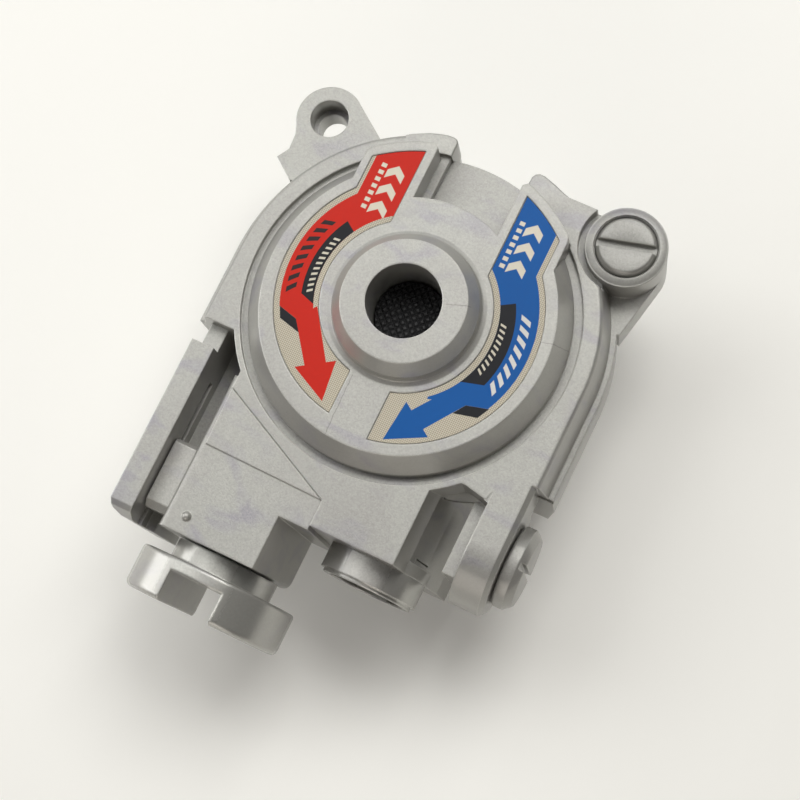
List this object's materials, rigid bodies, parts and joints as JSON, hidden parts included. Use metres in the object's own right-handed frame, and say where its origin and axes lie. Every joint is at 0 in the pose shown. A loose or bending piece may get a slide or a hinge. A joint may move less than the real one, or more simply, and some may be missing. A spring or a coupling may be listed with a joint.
{
  "type": "spinning top launcher",
  "caption": "Palm-sized two-way spinning top launcher with a round gear housing, raised direction cover, winder slots, turning coupling foot, side lock and skirted rotor.",
  "frame": {"origin": "centre of the guard skirt's open end, on the rotor axis, where the launcher rests on a table", "axes": "+Z along the rotor axis towards the direction cover, +Y towards the winder slots between the arms, +X towards the side with the blue label"},
  "size_m": [0.0644, 0.0856, 0.0421],
  "materials": {
    "silver_shell": "satin pearl silver plastic with fine sparkle",
    "silver_back": "satin pearl silver plastic with fine sparkle",
    "silver_cover": "satin pearl silver plastic with fine sparkle",
    "silver_foot": "satin pearl silver plastic",
    "silver_sleeve": "satin pearl silver plastic",
    "silver_slide": "satin pearl silver plastic",
    "silver_lock": "satin pearl silver plastic",
    "silver_pivot": "satin pearl silver plastic",
    "silver_nut": "satin pearl silver plastic",
    "red_print": "printed film, red arrow on a beige ground",
    "blue_print": "printed film, blue arrow on a beige ground",
    "black_grip": "black rubber-like plastic with a diamond grip",
    "black_hub": "black plastic",
    "steel_bright": "bright steel",
    "steel_plate": "pressed steel plate",
    "steel_screw": "zinc plated steel",
    "natural_nylon": "natural nylon",
    "gear_plastic": "white acetal",
    "guide_plastic": "dark grey low-friction plastic"
  },
  "bodies": {
    "housing": {"front_shell": "silver_shell", "back_shell": "silver_back", "direction_cover": "silver_cover", "red_label": "red_print", "blue_label": "blue_print", "front_bush": "natural_nylon", "back_bush": "natural_nylon", "guide_left": "guide_plastic", "guide_right": "guide_plastic", "exit_sleeve": "silver_sleeve", "pivot_nut": "silver_nut", "case_screws": "steel_screw"},
    "rotor": {"rotor_pad": "black_grip", "spindle": "steel_bright", "front_washer": "steel_bright", "drive_gear": "gear_plastic", "gear_pin": "steel_bright", "back_washer": "steel_bright", "rotor_hub": "black_hub", "prong_plate": "steel_plate", "hub_screw": "steel_screw"},
    "coupling": {"coupling_foot": "silver_foot", "coupling_clip": "steel_bright"},
    "side_lock": {"slide_lock": "silver_slide"},
    "cover_lock": {"lock_screw": "silver_lock"},
    "grip_pivot": {"pivot_screw": "silver_pivot", "pivot_clip": "steel_bright"}
  },
  "joints": [
    {"name": "rotor_spin", "type": "hinge", "parent": "housing", "child": "rotor", "pos_m": [0, 0, 0.022], "axis": [0, 0, 1], "continuous": true},
    {"name": "coupling_swivel", "type": "hinge", "parent": "housing", "child": "coupling", "pos_m": [-0.0111, -0.046, 0.022], "axis": [0, 1, 0], "range_deg": [-90, 90]},
    {"name": "side_lock_slide", "type": "slide", "parent": "housing", "child": "side_lock", "axis": [0, 1, 0], "range_m": [0, 0.009]},
    {"name": "cover_lock_turn", "type": "hinge", "parent": "housing", "child": "cover_lock", "pos_m": [0.0255, 0.0232, 0.03], "axis": [0, 0, 1], "range_deg": [0, 90]},
    {"name": "grip_pivot_turn", "type": "hinge", "parent": "housing", "child": "grip_pivot", "pos_m": [0.026, -0.0273, 0.025], "axis": [1, 0, 0], "range_deg": [0, 90]}
  ]
}
